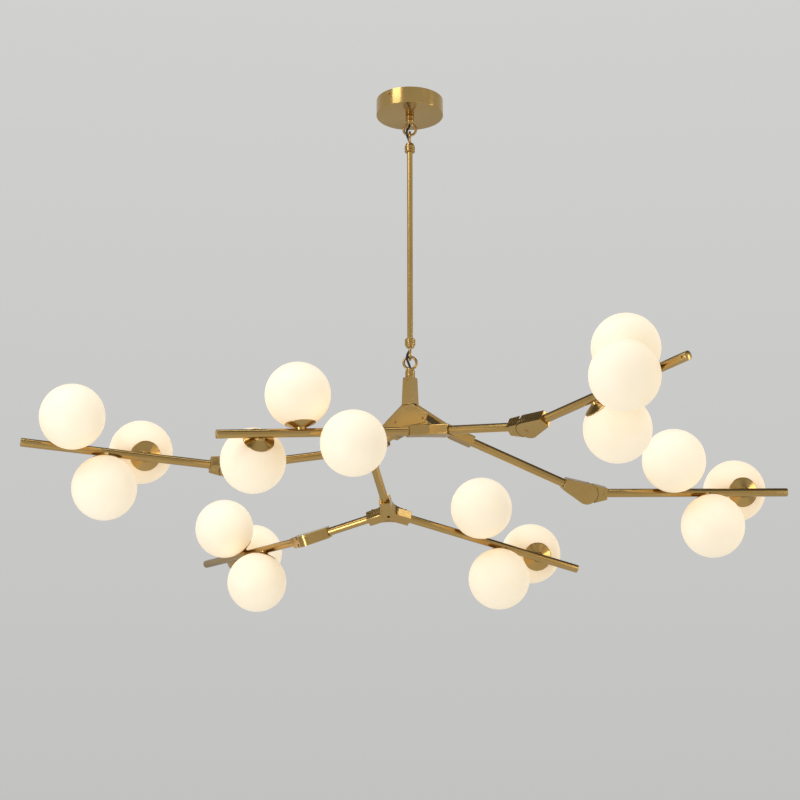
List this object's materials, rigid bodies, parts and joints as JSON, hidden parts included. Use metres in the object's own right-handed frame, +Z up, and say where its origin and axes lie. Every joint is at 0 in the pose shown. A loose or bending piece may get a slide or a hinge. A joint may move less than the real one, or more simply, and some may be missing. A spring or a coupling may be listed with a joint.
{
  "type": "branch chandelier",
  "caption": "Branching brass ceiling pendant on a linked down rod, with jointed arms and opal glass globes on round cups.",
  "frame": {"origin": "centre of the two ceiling slots, on the ceiling plane, on the axis of the canopy and the down rod", "axes": "+Z up towards the ceiling, +X to the right and +Y away from the viewer of the front view"},
  "size_m": [1.4396, 1.1639, 0.9498],
  "materials": {
    "satin_brass": "satin lacquered brass",
    "opal_glass": "opal, smooth",
    "lamp_glass": "frosted",
    "white_ceramic": "glazed ceramic",
    "cable_sleeve": "matt black",
    "terminal_plastic": "moulded",
    "zinc_plated_steel": "zinc plated"
  },
  "bodies": {
    "canopy": {"canopy_cover": "satin_brass", "mounting_bracket": "zinc_plated_steel", "canopy_side_screws": "satin_brass", "canopy_loop": "satin_brass", "canopy_loop_nut": "zinc_plated_steel", "terminal_block": "terminal_plastic", "supply_cable_upper": "cable_sleeve"},
    "suspension_rod": {"rod_top_loop": "satin_brass", "down_rod": "satin_brass", "rod_bottom_loop": "satin_brass", "supply_cable_lower": "cable_sleeve"},
    "hub": {"hub_loop": "satin_brass", "main_hub": "satin_brass", "hub_cover_plate": "satin_brass", "hub_screws": "satin_brass", "left_junction": "satin_brass", "back_junction": "satin_brass", "link_tube": "satin_brass", "left_arm_tube": "satin_brass", "back_arm_tube": "satin_brass", "back_left_arm_tube": "satin_brass", "front_arm_tube": "satin_brass", "right_arm_tube": "satin_brass", "elbow_pivot_screws": "satin_brass", "far_left_elbow_fork": "satin_brass", "far_right_elbow_fork": "satin_brass", "back_left_elbow_fork": "satin_brass", "front_right_elbow_tongue": "satin_brass", "front_left_globe_rod": "satin_brass", "front_left_cups": "satin_brass", "front_left_globes": "opal_glass", "back_right_globe_rod": "satin_brass", "back_right_cups": "satin_brass", "back_right_globes": "opal_glass", "fixed_lampholders": "white_ceramic", "fixed_lamps": "lamp_glass"},
    "far_left_branch": {"far_left_elbow_tongue": "satin_brass", "far_left_globe_rod": "satin_brass", "far_left_cups": "satin_brass", "far_left_globes": "opal_glass", "far_left_lampholders": "white_ceramic", "far_left_lamps": "lamp_glass"},
    "front_right_branch": {"front_right_elbow_fork": "satin_brass", "front_right_globe_rod": "satin_brass", "front_right_cups": "satin_brass", "front_right_globes": "opal_glass", "front_right_lampholders": "white_ceramic", "front_right_lamps": "lamp_glass"},
    "far_right_branch": {"far_right_elbow_tongue": "satin_brass", "far_right_globe_rod": "satin_brass", "far_right_cups": "satin_brass", "far_right_globes": "opal_glass", "far_right_lampholders": "white_ceramic", "far_right_lamps": "lamp_glass"},
    "back_left_branch": {"back_left_elbow_tongue": "satin_brass", "back_left_globe_rod": "satin_brass", "back_left_cups": "satin_brass", "back_left_globes": "opal_glass", "back_left_lampholders": "white_ceramic", "back_left_lamps": "lamp_glass"}
  },
  "joints": [
    {"name": "canopy_link_swing", "type": "hinge", "parent": "canopy", "child": "suspension_rod", "pos_m": [0, 0, -0.073], "axis": [1, 0, 0], "range_deg": [-20, 20], "deforming": ["supply_cable_upper"]},
    {"name": "hub_link_swing", "type": "hinge", "parent": "suspension_rod", "child": "hub", "pos_m": [0, 0, -0.532], "axis": [0, 1, 0], "range_deg": [-20, 20], "deforming": ["supply_cable_lower"]},
    {"name": "far_left_elbow", "type": "hinge", "parent": "hub", "child": "far_left_branch", "pos_m": [-0.3396, 0.07119, -0.72158], "axis": [-0.0983, 0.3965, 0.9128], "range_deg": [-45, 21]},
    {"name": "front_right_elbow", "type": "hinge", "parent": "hub", "child": "front_right_branch", "pos_m": [0.21091, -0.14066, -0.70298], "axis": [-0.3446, -0.3277, -0.8797], "range_deg": [-66, 21]},
    {"name": "far_right_elbow", "type": "hinge", "parent": "hub", "child": "far_right_branch", "pos_m": [0.33274, 0.09584, -0.76616], "axis": [0.1404, -0.8918, -0.4301], "range_deg": [-67, 20]},
    {"name": "back_left_elbow", "type": "hinge", "parent": "hub", "child": "back_left_branch", "pos_m": [-0.20339, 0.31177, -0.80571], "axis": [0.3273, 0.2864, -0.9005], "range_deg": [-50, 7]}
  ]
}
